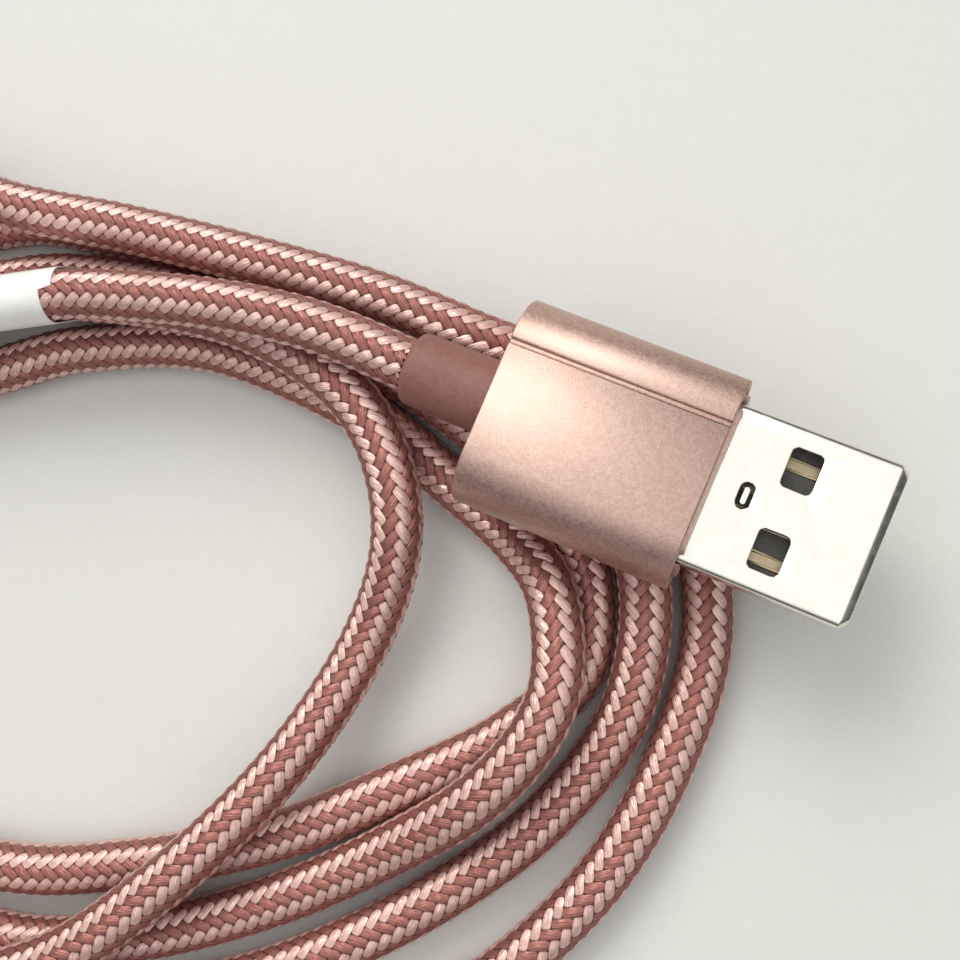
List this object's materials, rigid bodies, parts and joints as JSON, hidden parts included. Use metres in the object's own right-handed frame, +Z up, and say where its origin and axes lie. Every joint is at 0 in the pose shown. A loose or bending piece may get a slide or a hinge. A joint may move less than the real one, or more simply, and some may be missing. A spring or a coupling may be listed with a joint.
{
  "type": "charging cable",
  "caption": "Charging cable with a braided cord in loose turns, a USB-A plug and a USB-C plug in flat rounded aluminium housings.",
  "frame": {"origin": "on the table, under the middle of the box round the two plugs", "axes": "+X out of the USB-A plug's mouth, +Y away from the viewer, +Z up from the table; the USB-C plug's mouth points to -Y"},
  "size_m": [0.1186, 0.0795, 0.0137],
  "materials": {
    "plug_shell": "bright nickel plating",
    "insulator_grey": "moulded",
    "insulator_black": "moulded",
    "gold_contact": "gold plating",
    "inner_mould": "moulded",
    "housing": "fine blasted, anodised rose gold",
    "strain_relief": "soft matt elastomer",
    "cable_jacket": "smooth",
    "cable_clamp": "plain",
    "latch_steel": "plain",
    "wire_red": "smooth",
    "wire_white": "smooth",
    "wire_green": "smooth",
    "wire_black": "smooth",
    "circuit_board": "solder mask",
    "resistor": "glazed",
    "braid": "herringbone braid of shiny yarn",
    "paper_band": "coated"
  },
  "bodies": {
    "root": {"usb_a_shell": "plug_shell", "usb_a_tongue": "insulator_grey", "usb_a_rear_block": "insulator_grey", "usb_a_contact_1": "gold_contact", "usb_a_contact_2": "gold_contact", "usb_a_contact_3": "gold_contact", "usb_a_contact_4": "gold_contact", "usb_a_inner_mould": "inner_mould", "usb_a_sleeve": "housing", "usb_a_strain_relief": "strain_relief", "usb_a_inner_cable": "cable_jacket", "usb_a_cable_clamp": "cable_clamp", "usb_a_wire_1": "wire_red", "usb_a_wire_2": "wire_white", "usb_a_wire_3": "wire_green", "usb_a_wire_4": "wire_black", "usb_c_shell": "plug_shell", "usb_c_insulator": "insulator_black", "usb_c_contact_a1": "gold_contact", "usb_c_contact_a2": "gold_contact", "usb_c_contact_a3": "gold_contact", "usb_c_contact_a4": "gold_contact", "usb_c_contact_a5": "gold_contact", "usb_c_contact_a6": "gold_contact", "usb_c_contact_b1": "gold_contact", "usb_c_contact_b2": "gold_contact", "usb_c_contact_b3": "gold_contact", "usb_c_contact_b4": "gold_contact", "usb_c_contact_b5": "gold_contact", "usb_c_contact_b6": "gold_contact", "usb_c_latch_left": "latch_steel", "usb_c_latch_right": "latch_steel", "usb_c_pcb": "circuit_board", "usb_c_resistor": "resistor", "usb_c_inner_mould": "inner_mould", "usb_c_sleeve": "housing", "usb_c_strain_relief": "strain_relief", "usb_c_inner_cable": "cable_jacket", "usb_c_cable_clamp": "cable_clamp", "usb_c_wire_1": "wire_red", "usb_c_wire_2": "wire_white", "usb_c_wire_3": "wire_green", "usb_c_wire_4": "wire_black", "cord": "braid", "tie_band": "paper_band"}
  },
  "joints": []
}
